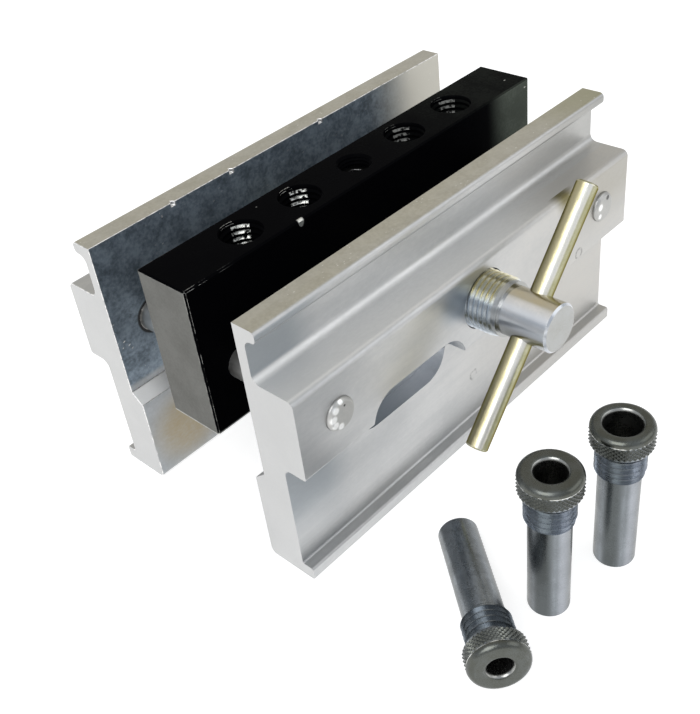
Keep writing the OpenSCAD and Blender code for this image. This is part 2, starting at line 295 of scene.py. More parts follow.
castValues = {
    "tones": {
        # Several tones are painted light: highlights on the trough fillet and the rear ledge, shade on the
        # left skirt, in the pocket and in dark rings, and reflections of the block on the inner faces, of the
        # block's end on the rear pad and of the T-bar on the front boss
        "cast": (0.58, 0.58, 0.575), "shade": (0.45, 0.46, 0.465), "bare": (0.88, 0.87, 0.85),
        "dark": (0.03, 0.03, 0.03), "warmRight": (0.535, 0.52, 0.49), "troughHighlight": (0.86, 0.86, 0.85),
        "leftSkirtShade": (0.33, 0.355, 0.375), "bossShade": (0.40, 0.385, 0.345),
        "neckShade": (0.34, 0.335, 0.31), "screwShade": (0.20, 0.26, 0.32), "milledEnd": (0.525, 0.525, 0.52),
        "beige": (0.47, 0.45, 0.375), "beigeLight": (0.58, 0.56, 0.485), "oliveLip": (0.42, 0.41, 0.29),
        "ledgeHighlight": (0.96, 0.96, 0.95), "inside": (0.30, 0.37, 0.44), "insideDark": (0.085, 0.115, 0.145),
        "insideEnd": (0.54, 0.52, 0.455), "blockEndReflection": (0.40, 0.32, 0.185), "barReflection": (0.185, 0.16, 0.06),
        "pocketShade": (0.42, 0.45, 0.48), "pocketHighlight": (0.74, 0.76, 0.79),
    },
    "mixes": {  # tones made of two others, and where the second one shows
        "clouded": ("cast", "shade", {"on": ["cloud"], "most": 0.8}),
        "ground": ("clouded", "shade", {"on": ["streak"], "most": 0.3}),
        # painted reflection of the black block: dark bluish patches on the jaws' inner faces, turning beige
        # towards the rear jaw's right end
        "blockReflection": ("inside", "insideDark", {"on": ["patch"]}),
        "innerSide": ("blockReflection", "insideEnd", {"on": ["rear"], "ramps": [("X", 0.035, 0.06)]}),
        "lipTop": ("beige", "beigeLight", {"on": ["patch"]}),
        # painted shade in the pocket, turning to a painted highlight towards its right end
        "pocket": ("pocketShade", "pocketHighlight", {
            "ramps": [("X", -0.036, -0.012), ("cloud", 0.0, 1.0, 1.0, 0.7)],
        }),
    },
    "regions": {  # laid over each other in this order, each with the tone of its name
        "warmRight": {
            "on": ["front"],
            "ramps": [("X", -0.02, 0.045), ("outward", 0.0367, 0.0373, 0.25, 1.0),
                      ("cloud", 0.0, 1.0, 0.9, 0.5)],
        },
        # painted highlight: a pale streak on the upward-facing part of the fillet under the lip
        "troughHighlight": {
            "on": ["front"], "bands": [("outward", 0.0319, 0.0445), ("Z", 0.029, 0.0435)],
            "ramps": [("rise", 0.3, 0.8, 0.05, 1.0), ("X", 0.05, 0.01, 0.15, 1.0),
                      ("cloud", 0.0, 1.0, 1.0, 0.8)],
        },
        # painted shade: a bluish darkening on the skirt below the boss at the jaw's left end
        "leftSkirtShade": {
            "on": ["flat", "front"],
            "ramps": [("outward", 0.0393, 0.0383), ("X", -0.048, -0.062), ("Z", -0.022, -0.008, 0.2, 0.9)],
        },
        "bossShade": {
            "on": ["boss", "front"],
            "ramps": [("X", 0.03, 0.062), ("Z", 0.006, 0.025), ("cloud", 0.0, 1.0, 1.0, 0.6)],
        },
        "neckShade": {
            "on": ["front", "offLip"], "bands": [("outward", 0.0319, 0.0373)],
            "ramps": [("X", 0.015, 0.055, 0.0, 0.6), ("rise", 0.7, 0.3)],
        },
        "screwShade": {
            "on": ["boss", "front"], "ramps": [("cloud", 0.0, 1.0, 0.7, 0.4)],
            "spot": ((-0.0112, 0.0232), 0.0062, 0.00434, 1.2),
        },
        # the painted reflection of the block, weaker low on the inner faces
        "innerSide": {"on": ["inside"], "ramps": [("Z", -0.001, 0.001, 0.3, 0.95)]},
        "milledEnd": {"on": ["end"], "most": 0.9},
        "lipTop": {"on": ["lip"], "ramps": [("cloud", 0.0, 1.0, 0.7, 1.0)]},
        "oliveLip": {"on": ["lip", "front"], "ramps": [("X", 0.04, 0.072, 0.0, 0.8)]},
        # painted highlight on the upward-facing ledge at the rear jaw's left end
        "ledgeHighlight": {"on": ["ledge", "rear"], "ramps": [("X", -0.058, -0.07)]},
        # painted reflection of the block's end: a warm patch on the rear jaw's pad at its left end
        "blockEndReflection": {
            "on": ["flat", "rear"], "ramps": [("forward", 0.0, -0.5), ("cloud", 0.0, 1.0, 0.5, 0.9)],
            "spot": ((-0.06, -0.0205), 0.011, 0.0066),
        },
        # painted reflection of the T-bar: an olive patch on the front boss by the bar's upper end
        "barReflection": {
            "on": ["bossTop"], "ramps": [("cloud", 0.0, 1.0, 0.95, 0.75)],
            "spot": ((0.0403, 0.0306), 0.0036, 0.00288),
        },
    },
    # where the pocket's painted shade and highlight are laid
    "pocket": {
        "on": ["front", "offSkirt"], "most": 0.85,
        "bands": [("X", -0.0484, -0.0088), ("Z", -0.0054, 0.0132), ("outward", 0.0316, 0.046)],
    },
    "nicked": {"on": ["inside", "rear"], "ramps": [("X", -0.02, -0.07, 0.2, 1.0), ("Z", 0.0, 0.01)]},
    "lipSpecks": 0.6, "rodRingShadow": (0.0059, 0.0003), "markPlaces": ((0.0476, 0.0072), (0.0035, -0.0155)),
    "mark": {"on": ["flat", "front"], "ramps": [("patch", 0.2, 0.7, 0.0, 0.45)]},
    "markOuter": (0.00195, 0.0002), "markInner": (0.00125, 0.0003), "flatSpan": (0.9, 0.99),
    "endSpan": (0.85, 0.97), "topSpan": (0.7, 0.95),
    "lipZ": (0.042, 0.046), "faceBand": (0.0008, 0.0002), "ledgeSlope": (0.6, 0.9, 0.05),
    "ledgeBand": (0.0006, 0.0002), "skirtSpan": (0.0372, 0.0373), "bossTopY": 0.0425,
    "roughness": (0.42, 0.36), "roughnessOn": {"inside": 0.36, "ledge": 0.75, "troughHighlight": 0.58},
    "cloudRoughness": 0.12, "wornRoughness": -0.12, "innerMetal": 0.6, "grainDepth": 0.00005,
    "machinedGrain": 0.3, "lineDepth": 0.00001, "cloudStretch": (0.45, 1.0, 1.0),
    "speckLean": (0.0, 0.5, 0.0), "clusterScale": 130.0, "clusterSpan": (0.52, 0.62),
    "mottle": {"Cloud Scale": 45.0, "Grain Scale": 1300.0, "Grain Share": 0.22},
    "patches": {"Cloud Scale": 170.0, "Grain Scale": 1100.0, "Grain Share": 0.4},
    "streaks": {"Stretch": (14.0, 300.0, 300.0), "Low": 0.42, "High": 0.6},
    "worn": {"Scale": 420.0, "Amount": 0.52},
    "specks": {"Stretch": (560.0, 1500.0, 1400.0), "Size": 0.24, "Share": 0.2},
}


def castAluminium(values, bossFace, innerFace, rodPlace):
    material, shader, place, normal, edge = startMaterial("castAluminium", {})
    mapped = {key: addNode("ShaderNodeMapping", {"Vector": place, key: values[name]}).outputs["Vector"]
              for key, name in (("Scale", "cloudStretch"), ("Rotation", "speckLean"))}
    mottle = addGroup("mottle", mapped["Scale"], values["mottle"])
    streaks = addGroup("streaks", place, values["streaks"])
    parts = splitXYZ(place)
    way = splitXYZ(normal)
    outward = maths("ABSOLUTE", parts["Y"])
    flat = ramped(maths("ABSOLUTE", way["Y"]), *values["flatSpan"])
    far, near = values["faceBand"]
    known = {
        "X": parts["X"], "Z": parts["Z"], "outward": outward, "forward": way["Y"], "rise": way["Z"],
        "flat": flat, "cloud": mottle["Mask"], "streak": streaks["Mask"],
        "patch": addGroup("mottle", place, values["patches"])["Mask"],
        "front": maths("LESS_THAN", parts["Y"], 0.0),
        "rear": maths("GREATER_THAN", parts["Y"], 0.0),
        "boss": product(flat, ramped(outward, bossFace - far, bossFace - near)),
        "inside": product(flat, ramped(outward, innerFace + far, innerFace + near)),
        "end": ramped(maths("ABSOLUTE", way["X"]), *values["endSpan"]),
        "lip": product(ramped(way["Z"], *values["topSpan"]), ramped(parts["Z"], *values["lipZ"])),
        "ledge": product(between(way["Z"], *values["ledgeSlope"]),
                         ramped(outward, *(innerFace + reach for reach in values["ledgeBand"]))),
        "offSkirt": allBut(product(flat, ramped(outward, *values["skirtSpan"]))),
        "bossTop": maths("LESS_THAN", parts["Y"], -values["bossTopY"]),
    }
    known["offLip"] = allBut(known["lip"])
    tones = dict(values["tones"])
    for name, (first, second, limits) in values["mixes"].items():
        tones[name] = blendColours(regionMask(known, **limits), tones[first], tones[second])
    colour = tones["ground"]
    for name, limits in values["regions"].items():
        known[name] = regionMask(known, **limits)
        colour = blendColours(known[name], colour, tones[name])
    # painted shadow: dark rings round the rod bores on the inner faces, and dark rings standing for the shade
    # of two small dimples on the front jaw
    rings = [regionMask(known, on=["inside"], spot=((side * rodPlace[0], rodPlace[1]), *values["rodRingShadow"]))
             for side in (-1, 1)]
    for mark in values["markPlaces"]:
        ring = regionMask(known, spot=(mark, *values["markOuter"]), **values["mark"])
        rings.append(product(ring, allBut(spotMask(known, mark, *values["markInner"]))))
    for ring in rings:
        colour = blendColours(ring, colour, tones["dark"])
    worn = addGroup("edgeWear", place, values["worn"], Edge=edge)["Mask"]
    specks = addGroup("specks", mapped["Rotation"], values["specks"])["Mask"]
    clusters = ramped(noise(place, values["clusterScale"], detail=2.0), *values["clusterSpan"])
    specked = maths("ADD", regionMask(known, **values["nicked"]),
                    product(known["lip"], values["lipSpecks"]))
    bare = largest(worn, product(specks, clusters, specked))
    colour = blendColours(bare, colour, tones["bare"])
    # the pocket's painted shade and highlight
    colour = blendColours(regionMask(known, **values["pocket"]), colour, tones["pocket"])
    link(colour, shader["Base Color"])
    link(ramped(known["inside"], 0.0, 1.0, 1.0, values["innerMetal"]), shader["Metallic"])
    machined = largest(known["boss"], known["inside"], known["end"])
    rough = ramped(machined, 0.0, 1.0, *values["roughness"])
    for name, value in values["roughnessOn"].items():
        rough = blendValues(known[name], rough, value)
    clouding = product(maths("SUBTRACT", known["cloud"], 0.5), values["cloudRoughness"])
    rough = maths("ADD", maths("ADD", rough, clouding), product(worn, values["wornRoughness"]))
    link(rough, shader["Roughness"])
    grain = product(mottle["Height"], ramped(machined, 0.0, 1.0, 1.0, values["machinedGrain"]))
    addBumps(shader, (grain, values["grainDepth"]), (streaks["Height"], values["lineDepth"]))
    return material


oxideValues = {
    "colour": (0.0015, 0.0015, 0.002), "bare": (0.62, 0.62, 0.58), "sawn": (0.165, 0.162, 0.148),
    "sawnLight": (0.22, 0.217, 0.20), "topReflection": (0.012, 0.0135, 0.0115), "sideReflection": (0.12, 0.135, 0.11),
    # painted reflection: a faint lighter sheen on the block towards its right end, on its top and on its
    # other faces
    "regions": {
        "topReflection": {"on": ["cloud", "top"], "ramps": [("X", 0.0, 0.078, 0.04, 1.0)]},
        "sideReflection": {"on": ["offTop"], "ramps": [("X", 0.05, 0.062), ("cloud", 0.0, 1.0, 0.7, 1.0)]},
    },
    "rubbed": {"on": ["arris"], "ramps": [("X", -0.055, -0.068)]},
    "nick": {"on": ["arris", "front"], "spot": ((-0.0313, 0.0473), 0.0009, 0.0003, 0.6)},
    "lowArris": {"ramps": [("Z", 0.0011, 0.0005), ("cloud", 0.0, 0.6, 0.5, 1.0)]},
    "shine": 0.004, "roughness": 0.2, "cloudRoughness": 0.12, "sawnRoughness": 0.55, "bareMetal": 0.85,
    "endBand": (0.001, 0.0003), "arrisY": (0.0085, 0.0088), "topSpan": (0.3, 0.9), "wornShare": 0.6,
    "speckShare": 0.6, "grainDepth": 0.00001, "lineDepth": 0.000008,
    "mottle": {"Cloud Scale": 70.0, "Grain Scale": 1500.0, "Grain Share": 0.3},
    "streaks": {"Stretch": (40.0, 1300.0, 1300.0)},
    "worn": {"Scale": 300.0, "Amount": 0.5}, "glints": {"Scale": 900.0, "Amount": 0.5},
    "specks": {"Stretch": (300.0, 700.0, 700.0), "Size": 0.14, "Share": 0.03},
}


def blackOxide(values, blockEnd):
    shine = {"Specular IOR Level": values["shine"]}
    material, shader, place, normal, edge = startMaterial("blackOxide", shine)
    mottle = addGroup("mottle", place, values["mottle"])
    streaks = addGroup("streaks", place, values["streaks"])
    parts = splitXYZ(place)
    top = facing(normal, (0.0, 0.0, 1.0), *values["topSpan"])
    known = {
        "X": parts["X"], "Z": parts["Z"], "cloud": mottle["Mask"], "top": top, "offTop": allBut(top),
        "front": maths("LESS_THAN", parts["Y"], 0.0),
        "arris": ramped(maths("ABSOLUTE", parts["Y"]), *values["arrisY"]),
    }
    atEnd = product(facing(vectorMaths("ABSOLUTE", normal), (1.0, 0.0, 0.0)),
                    ramped(maths("ABSOLUTE", parts["X"]), *(blockEnd - reach for reach in values["endBand"])))
    worn = addGroup("edgeWear", place, values["worn"], Edge=edge)["Mask"]
    rubbed = largest(regionMask(known, **values["rubbed"]), atEnd)
    # painted glints on the hole mouths and thread crests, laid in with the real edge wear as bare metal
    marked = faceMark(material.node_tree, "glint")
    glints = addGroup("edgeWear", place, values["glints"], Edge=marked)["Mask"]
    worn = largest(product(worn, rubbed, values["wornShare"]), glints,
                   regionMask(known, **values["nick"]), regionMask(known, **values["lowArris"]))
    specks = product(addGroup("specks", place, values["specks"])["Mask"], values["speckShare"])
    colour = values["colour"]
    # the painted reflections towards the block's right end
    for name, limits in values["regions"].items():
        colour = blendColours(regionMask(known, **limits), colour, values[name])
    sawn = blendColours(known["cloud"], values["sawn"], values["sawnLight"])
    for mask, tone in ((specks, values["bare"]), (atEnd, sawn), (worn, values["bare"])):
        colour = blendColours(mask, colour, tone)
    link(colour, shader["Base Color"])
    link(product(largest(worn, specks), values["bareMetal"]), shader["Metallic"])
    rough = maths("ADD", product(known["cloud"], values["cloudRoughness"]), values["roughness"])
    link(blendValues(atEnd, rough, values["sawnRoughness"]), shader["Roughness"])
    addBumps(shader, (mottle["Height"], values["grainDepth"]), (streaks["Height"], values["lineDepth"]))
    return material


barLean = radians(42.0)  # the T-bar's lean from upright at rest
barWay = (sin(barLean), 0.0, cos(barLean))
turnedShared = {
    "mottle": {"Cloud Scale": 160.0, "Grain Scale": 2600.0, "Grain Share": 0.35},
    "worn": {"Scale": 500.0, "Amount": 0.5}, "cloudShare": 0.6, "streakShare": 0.45, "unevenTo": 0.75,
    "frontSpan": (0.3, 0.6), "spotBlur": 0.35,
}
# each side is a painted highlight, shade or reflection, laid on by which way a face looks
turnedValues = {  # a side is (way, dot product at its rim, at its middle, tone, share)
    "zincScrew": {
        "colour": (0.62, 0.64, 0.67), "second": (0.52, 0.55, 0.59), "bare": (0.70, 0.70, 0.70),
        # painted: the T-bar's warm reflection on top, a white highlight up and to the left, shade below on
        # the left and a darker front end disc
        "sides": (((0.1, 0.0, 0.995), 0.80, 0.96, (0.62, 0.55, 0.38), 0.9),
                  ((-0.60, 0.0, 0.80), 0.93, 0.995, (0.98, 0.97, 0.96), 0.9),
                  ((-0.88, 0.0, -0.47), 0.82, 0.97, (0.34, 0.345, 0.335), 0.9),
                  ((0.0, -1.0, 0.0), 0.85, 0.97, (0.36, 0.36, 0.34), 0.95)),
        # the thread's sheen is a painted highlight and its dark root painted shade; the crown is the T-bar's
        # painted reflection on the thread tops
        "sheen": (0.64, 0.68, 0.72), "dark": (0.44, 0.46, 0.47), "roughness": 0.21, "uneven": 0.05,
        "crown": ((0.0220, 0.0250), (0.70, 0.655, 0.46), 0.85), "stretch": (120.0, 1500.0, 120.0),
        "lineDepth": 0.000003, "grain": 0.000001,
    },
    "yellowZinc": {
        "colour": (0.50, 0.49, 0.36), "second": (0.34, 0.33, 0.17), "bare": (0.80, 0.78, 0.66),
        # painted: dark reflection at grazing edges, a tan reflection on the left side, a broad white
        # highlight and shade on the end faces
        "grazing": (0.24, 0.21, 0.08), "aslant": (0.30, 0.75, 0.95),
        "sides": (((-0.93, 0.09, 0.36), 0.70, 0.95, (0.52, 0.46, 0.28), 0.9),
                  ((-0.58, -0.63, 0.52), 0.92, 0.985, (0.94, 0.92, 0.87), 0.9)),
        "cap": (barWay, 0.85, 0.97, (0.15, 0.14, 0.095)), "tint": (0.35, 0.32, 0.18, 1.0),
        "roughness": 0.27, "uneven": 0.18, "stretch": (220.0, 700.0, 220.0), "lineDepth": 0.00004,
        "grain": 0.00003,
    },
    "groundRod": {
        "colour": (0.49, 0.485, 0.465), "second": (0.42, 0.42, 0.41), "bare": (0.48, 0.48, 0.47),
        # the bright spots are painted highlights on the rod ends' rounded edges
        "spots": (  # bright and dark ones on the ends, at (X, Z) and with a radius in mm
            ((0.98, 0.98, 0.97), (((-59.6, 22.2), 0.7), ((-61.6, 20.6), 1.0), ((-62.7, 18.4), 1.1),
                                  ((-62.3, 16.4), 1.0), ((-60.6, 15.0), 1.0), ((57.2, 19.0), 1.1),
                                  ((57.0, 15.9), 0.8))),
            ((0.03, 0.03, 0.03), (((-58.6, 20.6), 0.35), ((60.9, 20.9), 0.8))),
        ),
        "roughness": 0.36, "uneven": 0.14, "stretch": (500.0, 60.0, 500.0), "lineDepth": 0.000006,
        "grain": 0.000008,
    },
    "blackScrew": {
        "colour": (0.02, 0.02, 0.022), "second": (0.05, 0.05, 0.05), "bare": (0.4, 0.4, 0.4),
        "roughness": 0.3, "uneven": 0.14, "stretch": (500.0, 500.0, 500.0), "lineDepth": 0.00001,
        "grain": 0.000008,
    },
    "bushingSteel": {
        "colour": (0.29, 0.315, 0.34), "second": (0.15, 0.162, 0.168), "bare": (0.80, 0.80, 0.76),
        # painted: shade on the left side, a highlight strip on the front, a sheen on the thread, dark grazing
        # edges, and a bore tone lifted to stand in for light in the bore
        "sides": (((-0.953, -0.301, 0.0), 0.86, 0.99, (0.07, 0.078, 0.075), 0.85),
                  ((-0.165, -0.986, 0.0), 0.88, 0.99, (0.42, 0.44, 0.48), 0.8)),
        "rim": (0.095, 0.099, 0.085), "sheen": (0.62, 0.66, 0.72), "dark": (0.36, 0.36, 0.34),
        "grazing": (0.06, 0.065, 0.06), "aslant": (0.4, 0.9, 0.8), "roughness": 0.20, "uneven": 0.14,
        "stretch": (420.0, 420.0, 30.0), "lineDepth": 0.00001, "grain": 0.000008,
    },
}


def turnedMetal(name, values, shared):
    # a turned and plated surface, with painted highlights, shade and reflections towards some sides, and
    # other tones, some of them painted, where its faces are marked
    settings = {"Metallic": 1.0}
    if "tint" in values:
        settings["Specular Tint"] = values["tint"]
    material, shader, place, normal, edge = startMaterial(name, settings)
    tree = material.node_tree
    mottle = addGroup("mottle", place, shared["mottle"])
    streaks = addGroup("streaks", place, {"Stretch": values["stretch"]})
    parts = splitXYZ(place)
    uneven = ramped(mottle["Mask"], 0.0, 1.0, 1.0, shared["unevenTo"])
    colour = values["colour"]
    for mask, share in ((mottle["Mask"], shared["cloudShare"]), (streaks["Mask"], shared["streakShare"])):
        colour = blendColours(product(mask, share), colour, values["second"])
    # painted light and shade by which way a face looks
    for way, low, high, tone, share in values.get("sides", ()):
        colour = blendColours(product(facing(normal, way, low, high), uneven, share), colour, tone)
    # the rim is the head's own tone; the sheen is a painted highlight; the dark mark is painted shade in the
    # screw's thread root and, in a bushing's bore, a lifted tone standing in for light
    for tone in ("rim", "sheen", "dark"):
        if tone in values:
            colour = blendColours(product(faceMark(tree, tone), uneven), colour, values[tone])
    # painted reflection of the T-bar: a warm tone on the tops of the screw's thread
    if "crown" in values:
        span, tone, share = values["crown"]
        crown = product(faceMark(tree, "sheen"), ramped(parts["Z"], *span), share)
        colour = blendColours(crown, colour, tone)
    # painted dark reflection where the surface turns away from view
    if "grazing" in values:
        aslant = addNode("ShaderNodeLayerWeight", {"Blend": 0.5}, tree).outputs["Facing"]
        low, high, most = values["aslant"]
        colour = blendColours(ramped(aslant, low, high, 0.0, most), colour, values["grazing"])
    worn = addGroup("edgeWear", place, shared["worn"], Edge=edge)["Mask"]
    colour = blendColours(worn, colour, values["bare"])
    # painted shade on the T-bar's end faces
    if "cap" in values:
        way, low, high, tone = values["cap"]
        colour = blendColours(facing(normal, way, low, high), colour, tone)
    inFront = facing(normal, (0.0, -1.0, 0.0), *shared["frontSpan"])
    # painted highlights, and dark dots, on the rod ends
    for tone, spots in values.get("spots", ()):
        for (across, up), radius in spots:
            radius *= mm
            spot = spotMask(parts, (across * mm, up * mm), radius, shared["spotBlur"] * radius)
            colour = blendColours(product(spot, inFront, uneven), colour, tone)
    link(colour, shader["Base Color"])
    rough = maths("ADD", product(mottle["Mask"], values["uneven"]), values["roughness"])
    link(rough, shader["Roughness"])
    addBumps(shader, (mottle["Height"], values["grain"]), (streaks["Height"], values["lineDepth"]))
    return material


innerSetBack = 4.0 * mm  # from the jaw's pad to its inner face above it
jawLow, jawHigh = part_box("rear_jaw")
blockLow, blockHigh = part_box("guide_block")
rodLow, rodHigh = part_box("guide_rod_right")
rodMiddle = (rodLow + rodHigh) / 2
materials = {name: turnedMetal(name, values, turnedShared) for name, values in turnedValues.items()}
materials["castAluminium"] = castAluminium(
    castValues, jawHigh.y, jawLow.y + innerSetBack, (rodMiddle.x, rodMiddle.z))
materials["blackOxide"] = blackOxide(oxideValues, blockHigh.x)
print("finishes made")


# Pieces that start as a merged copy of a CAD node

weldDistance = 0.002 * mm
flatAngle = 0.4  # degrees, up to which two faces become one
roundEdge = 25.0  # degrees, from which the bevel of a round end is an edge
shadeAngles = {"casting": 35.0, "turned": 30.0, "ridge": 80.0, "facet": 1.0}
normalWeight = 90


def mergedCopy(node):
    mesh = bmesh.new()
    mesh.from_mesh(frame["nodes"][node].data)
    bmesh.ops.remove_doubles(mesh, verts=mesh.verts, dist=weldDistance)
    bmesh.ops.dissolve_limit(mesh, angle_limit=radians(flatAngle), verts=mesh.verts, edges=mesh.edges)
    return mesh


def softenEdges(mesh, width, angle=40.0, segments=3):
    # rounds each sharp edge and marks the new faces as edge
    mark = mesh.faces.layers.float.get("edge") or mesh.faces.layers.float.new("edge")
    sharp = [edge for edge in mesh.edges
             if len(edge.link_faces) == 2 and edge.calc_face_angle() > radians(angle)]
    made = bmesh.ops.bevel(mesh, geom=sharp, offset=width, offset_type="OFFSET", segments=segments,
                           profile=0.5, affect="EDGES", clamp_overlap=True, material=-1)
    for face in made["faces"]:
        face[mark] = 1.0
    return mesh


def newObject(name, data):
    made = bpy.data.objects.new(name, data)
    bpy.context.scene.collection.objects.link(made)
    return made


def bakedMesh(piece):
    bpy.context.view_layer.update()
    return bpy.data.meshes.new_from_object(piece.evaluated_get(bpy.context.evaluated_depsgraph_get()))


def finishPiece(mesh, name, material, shading="casting"):
    # smooth shading that leaves the big flat faces flat
    data = bpy.data.meshes.new(name)
    mesh.to_mesh(data)
    mesh.free()
    data.materials.clear()
    data.materials.append(material)
    data.polygons.foreach_set("use_smooth", [True] * len(data.polygons))
    data.set_sharp_from_angle(angle=radians(shadeAngles[shading]))
    piece = newObject(name, data)
    weighted = piece.modifiers.new("weighted", "WEIGHTED_NORMAL")
    weighted.keep_sharp = True
    weighted.weight = normalWeight
    baked = bakedMesh(piece)
    piece.modifiers.remove(weighted)
    piece.data = baked
    bpy.data.meshes.remove(data)
    baked.name = name
    return piece


def dress(piece, body, slot, *replaced):
    if replaced:
        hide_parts(*replaced)
    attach(piece, body)


# Thread ridges and knurls, by Geometry Nodes

def closeTree(shape, given, result):
    real = addNode("GeometryNodeRealizeInstances", {"Geometry": shape}).outputs[0]
    done = addNode("GeometryNodeSetMaterial", {"Geometry": real, "Material": given["Finish"]}).outputs[0]
    link(done, result["Geometry"])


def buildThreadTree():
    # a trapezoid swept along a helix, tapered where it runs out
    tree, given, result = groupTree("threadRidge", "GeometryNodeTree", [
        ("Root Radius", "Float", 0.008), ("Depth", "Float", 0.001), ("Foot", "Float", 0.0012),
        ("Crest", "Float", 0.0002), ("Lead", "Float", 0.0016), ("Length", "Float", 0.01),
        ("Run Out", "Float", 0.5), ("Sink", "Float", 0.0001), ("Thinnest", "Float", 0.05),
        ("Steps", "Int", 48), ("Left Hand", "Bool", False), ("Inward", "Bool", False),
        ("Finish", "Material", None),
    ], [("Geometry", "Geometry")])
    turns = maths("DIVIDE", given["Length"], given["Lead"])
    helix = addNode("GeometryNodeCurveSpiral", {
        "Resolution": given["Steps"], "Rotations": turns, "Start Radius": given["Root Radius"],
        "End Radius": given["Root Radius"], "Height": given["Length"], "Reverse": given["Left Hand"],
    }).outputs["Curve"]
    upright = addNode("GeometryNodeSetCurveNormal", {"Curve": helix}, mode="Z_UP").outputs["Curve"]
    whole = maths("ADD", given["Depth"], given["Sink"])
    section = addNode("GeometryNodeCurvePrimitiveQuadrilateral", {
        "Bottom Width": given["Foot"], "Top Width": given["Crest"], "Height": whole, "Offset": 0.0,
    }, mode="TRAPEZOID").outputs["Curve"]
    lift = maths("SUBTRACT", product(whole, 0.5), given["Sink"])
    raised = addNode("GeometryNodeTransform", {
        "Geometry": section, "Translation": combineXYZ(Y=lift),
    }).outputs["Geometry"]
    turned = addNode("GeometryNodeTransform", {
        "Geometry": raised, "Rotation": combineXYZ(Z=product(given["Inward"], pi)),
    }).outputs["Geometry"]
    along = tree.nodes.new("GeometryNodeSplineParameter").outputs["Factor"]
    fromEnd = maths("MINIMUM", along, allBut(along))
    size = maths("DIVIDE", product(fromEnd, turns), given["Run Out"], clamp=True)
    swept = addNode("GeometryNodeCurveToMesh", {
        "Curve": upright, "Profile Curve": turned, "Scale": largest(size, given["Thinnest"]),
        "Fill Caps": True,
    }).outputs["Mesh"]
    closeTree(swept, given, result)
    return tree


def buildKnurlTree():
    # small pyramids in staggered rows round a cylinder
    tree, given, result = groupTree("diamondKnurl", "GeometryNodeTree", [
        ("Radius", "Float", 0.008), ("Low", "Float", 0.0), ("High", "Float", 0.005),
        ("Depth", "Float", 0.0004), ("Around", "Int", 52), ("Rows", "Int", 9), ("Finish", "Material", None),
    ], [("Geometry", "Geometry")])
    index = tree.nodes.new("GeometryNodeInputIndex").outputs["Index"]
    row = maths("FLOOR", maths("DIVIDE", maths("ADD", index, 0.5), given["Around"]))
    column = maths("SUBTRACT", index, product(row, given["Around"]))
    shift = product(maths("MODULO", row, 2.0), 0.5)
    angle = product(maths("DIVIDE", maths("ADD", column, shift), given["Around"]), tau)
    step = maths("DIVIDE", maths("SUBTRACT", given["High"], given["Low"]),
                 maths("ADD", given["Rows"], 1.0))
    height = maths("ADD", given["Low"], product(maths("ADD", row, 1.0), step))
    spot = combineXYZ(X=product(maths("COSINE", angle), given["Radius"]),
                      Y=product(maths("SINE", angle), given["Radius"]), Z=height)
    points = addNode("GeometryNodePoints", {
        "Count": product(given["Around"], given["Rows"]), "Position": spot,
    }).outputs[0]
    pyramid = addNode("GeometryNodeMeshCone", {
        "Vertices": 4, "Radius Top": 0.0, "Radius Bottom": 1.0, "Depth": given["Depth"],
    }).outputs["Mesh"]
    parts = splitXYZ(tree.nodes.new("GeometryNodeInputPosition").outputs[0])
    around = maths("ADD", maths("ARCTAN2", parts["Y"], parts["X"]), pi / 2)
    width = maths("DIVIDE", product(given["Radius"], pi), given["Around"])
    placed = addNode("GeometryNodeInstanceOnPoints", {
        "Points": points, "Instance": pyramid, "Rotation": combineXYZ(X=pi / 2, Z=around),
        "Scale": combineXYZ(X=width, Y=step, Z=1.0),
    }).outputs[0]
    closeTree(placed, given, result)
    return tree


threadTree = buildThreadTree()
knurlTree = buildKnurlTree()


def fromTree(tree, values, turn=None):
    # runs a tree with these inputs and gives back its plain mesh, turned into place
    carrier = newObject("carrier", bpy.data.meshes.new("carrier"))
    modifier = carrier.modifiers.new("made", "NODES")
    modifier.node_group = tree
    sockets = {item.name: item.identifier for item in tree.interface.items_tree if item.in_out == "INPUT"}
    for label, value in values.items():
        modifier[sockets[label]] = value
    made = bakedMesh(carrier)
    bpy.data.objects.remove(carrier)
    if turn is not None:
        made.transform(turn)
    return made


def joinMeshes(meshes):
    joined = bmesh.new()
    for made in meshes:
        joined.from_mesh(made)
        bpy.data.meshes.remove(made)
    return joined


def markFaces(mesh, attribute, wanted):
    mark = mesh.faces.layers.float.new(attribute)
    for face in mesh.faces:
        face[mark] = float(wanted(face.calc_center_median()))
    return mesh


# Guide block, its bushing threads and the retaining screw

blockValues = {
    "edgeSoftness": 0.18 * mm, "holeRoot": 6.2 * mm, "boreSlack": 0.2 * mm, "threadDepth": 0.55 * mm,
    "threadLead": 1.8 * mm, "threadFoot": 1.4 * mm, "threadCrest": 0.3 * mm, "threadSteps": 56,
    "mouth": 0.9 * mm, "crestBand": 0.25 * mm, "mouthReach": 6.9 * mm, "faintGlint": 0.3,
    "glintSpan": (28.0, 76.0), "mouthSpan": (70.0, 108.0),  # degrees round a hole
    "retainerDepth": 0.45 * mm, "retainerLead": 1.06 * mm, "retainerFoot": 0.8 * mm, "retainerGap": 0.6 * mm,
    "retainerSteps": 48, "retainerSoftness": 0.15 * mm,
}


def glintShare(spot, holes, reach, span, faint):
    # how strongly a painted glint shows on a face near a hole: the two left holes get it most
    hole = min(holes, key=lambda middle: hypot(spot.x - middle.x, spot.y - middle.y))
    across = Vector((spot.x - hole.x, spot.y - hole.y))
    turned = degrees(atan2(across.y, across.x))
    if across.length > reach or not span[0] < turned < span[1]:
        return 0.0
    return 1.0 if hole.x < 0.0 else faint


